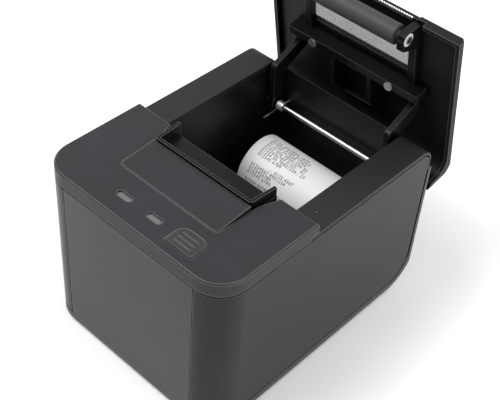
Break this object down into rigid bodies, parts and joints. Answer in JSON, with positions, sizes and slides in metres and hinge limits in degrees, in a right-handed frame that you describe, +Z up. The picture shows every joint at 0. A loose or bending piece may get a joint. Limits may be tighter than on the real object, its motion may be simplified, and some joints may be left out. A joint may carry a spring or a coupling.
{
  "type": "receipt printer",
  "caption": "Desktop thermal receipt printer with its lid open: drop-in paper bay, roll, platen lid, print mechanism and control panel.",
  "frame": {"origin": "middle of the open printer's footprint, on the surface that it stands on", "axes": "+Z up, -Y to the printer's front, +X to its right seen from the front"},
  "size_m": [0.118, 0.1726, 0.1555],
  "materials": {
    "case": "fine matte texture",
    "panel": "satin matte",
    "deck": "fine matte texture",
    "lid": "fine matte texture",
    "trim": "satin",
    "rubber": "matt",
    "steel": "zinc plated",
    "chrome": "polished",
    "alu": "milled",
    "lens": "frosted",
    "window": "smoked clear",
    "paper": "thermal paper, matt",
    "core": "plain board",
    "board": "solder mask",
    "chip": "matt",
    "socket": "matt",
    "gear": "moulded acetal",
    "ceramic": "glazed strip",
    "brass": "bright",
    "led": "clear"
  },
  "bodies": {
    "base": {"base_tray": "case", "rubber_feet": "rubber", "case_screws": "steel", "housing_shell": "deck", "side_panel_right": "panel", "side_panel_left": "panel", "front_panel": "panel", "top_fascia": "trim", "head_cover": "trim", "indicator_lenses": "lens", "indicator_leds": "led", "feed_switch": "chip", "panel_board": "board", "paper_bay": "deck", "hinge_shaft": "chrome", "shaft_clips": "steel", "hinge_spring": "steel", "exit_lip": "trim", "mechanism_frame": "steel", "frame_screws": "steel", "stepper_motor": "steel", "gear_stud": "steel", "head_springs": "steel", "paper_sensor": "chip", "cover_switch": "chip", "main_board": "board", "board_screws": "steel", "board_chips": "chip", "power_socket": "socket", "usb_socket": "steel", "drawer_socket": "socket", "power_switch": "socket"},
    "lid": {"lid_shell": "lid", "lid_window": "window", "lid_inner_frame": "lid", "tear_bar": "steel", "platen_bushes": "gear", "lid_screws": "steel", "hinge_arm_left": "lid", "hinge_arm_right": "lid"},
    "platen": {"platen_roller": "rubber", "platen_shaft": "chrome", "platen_gear": "gear"},
    "drive": {"drive_gear": "gear"},
    "motor_rotor": {"motor_pinion": "brass"},
    "print_head": {"thermal_head": "ceramic", "head_heatsink": "alu"},
    "button": {"feed_button": "trim"},
    "rocker": {"power_rocker": "socket"},
    "roll": {"paper_roll": "paper", "roll_core": "core"}
  },
  "joints": [
    {"name": "lid_hinge", "type": "hinge", "parent": "base", "child": "lid", "pos_m": [0, 0.05692, 0.071], "axis": [1, 0, 0], "range_deg": [0, 79]},
    {"name": "platen_spin", "type": "hinge", "parent": "lid", "child": "platen", "pos_m": [0, 0.05967, 0.14855], "axis": [1, 0, 0], "continuous": true},
    {"name": "drive_gear_spin", "type": "hinge", "parent": "base", "child": "drive", "pos_m": [-0.0397, -0.02968, 0.08199], "axis": [1, 0, 0], "continuous": true},
    {"name": "motor_spin", "type": "hinge", "parent": "base", "child": "motor_rotor", "pos_m": [-0.03, -0.04014, 0.07886], "axis": [1, 0, 0], "continuous": true},
    {"name": "head_float", "type": "slide", "parent": "base", "child": "print_head", "axis": [0, -1, 0], "range_m": [0, 0.0006], "stiffness_N_per_m": 2000, "springref_m": -0.0005},
    {"name": "feed_button_press", "type": "slide", "parent": "base", "child": "button", "axis": [0, 0, -1], "range_m": [0, 0.0008], "stiffness_N_per_m": 400},
    {"name": "power_rocker_tilt", "type": "hinge", "parent": "base", "child": "rocker", "pos_m": [0.038, 0.06522, 0.0281], "axis": [1, 0, 0], "range_deg": [0, 16]},
    {"name": "paper_roll_spin", "type": "hinge", "parent": "base", "child": "roll", "pos_m": [0, 0.03652, 0.0443], "axis": [1, 0, 0], "continuous": true}
  ],
  "couplings": [
    {"joint": "motor_spin", "follows": "drive_gear_spin", "ratio": -2}
  ]
}
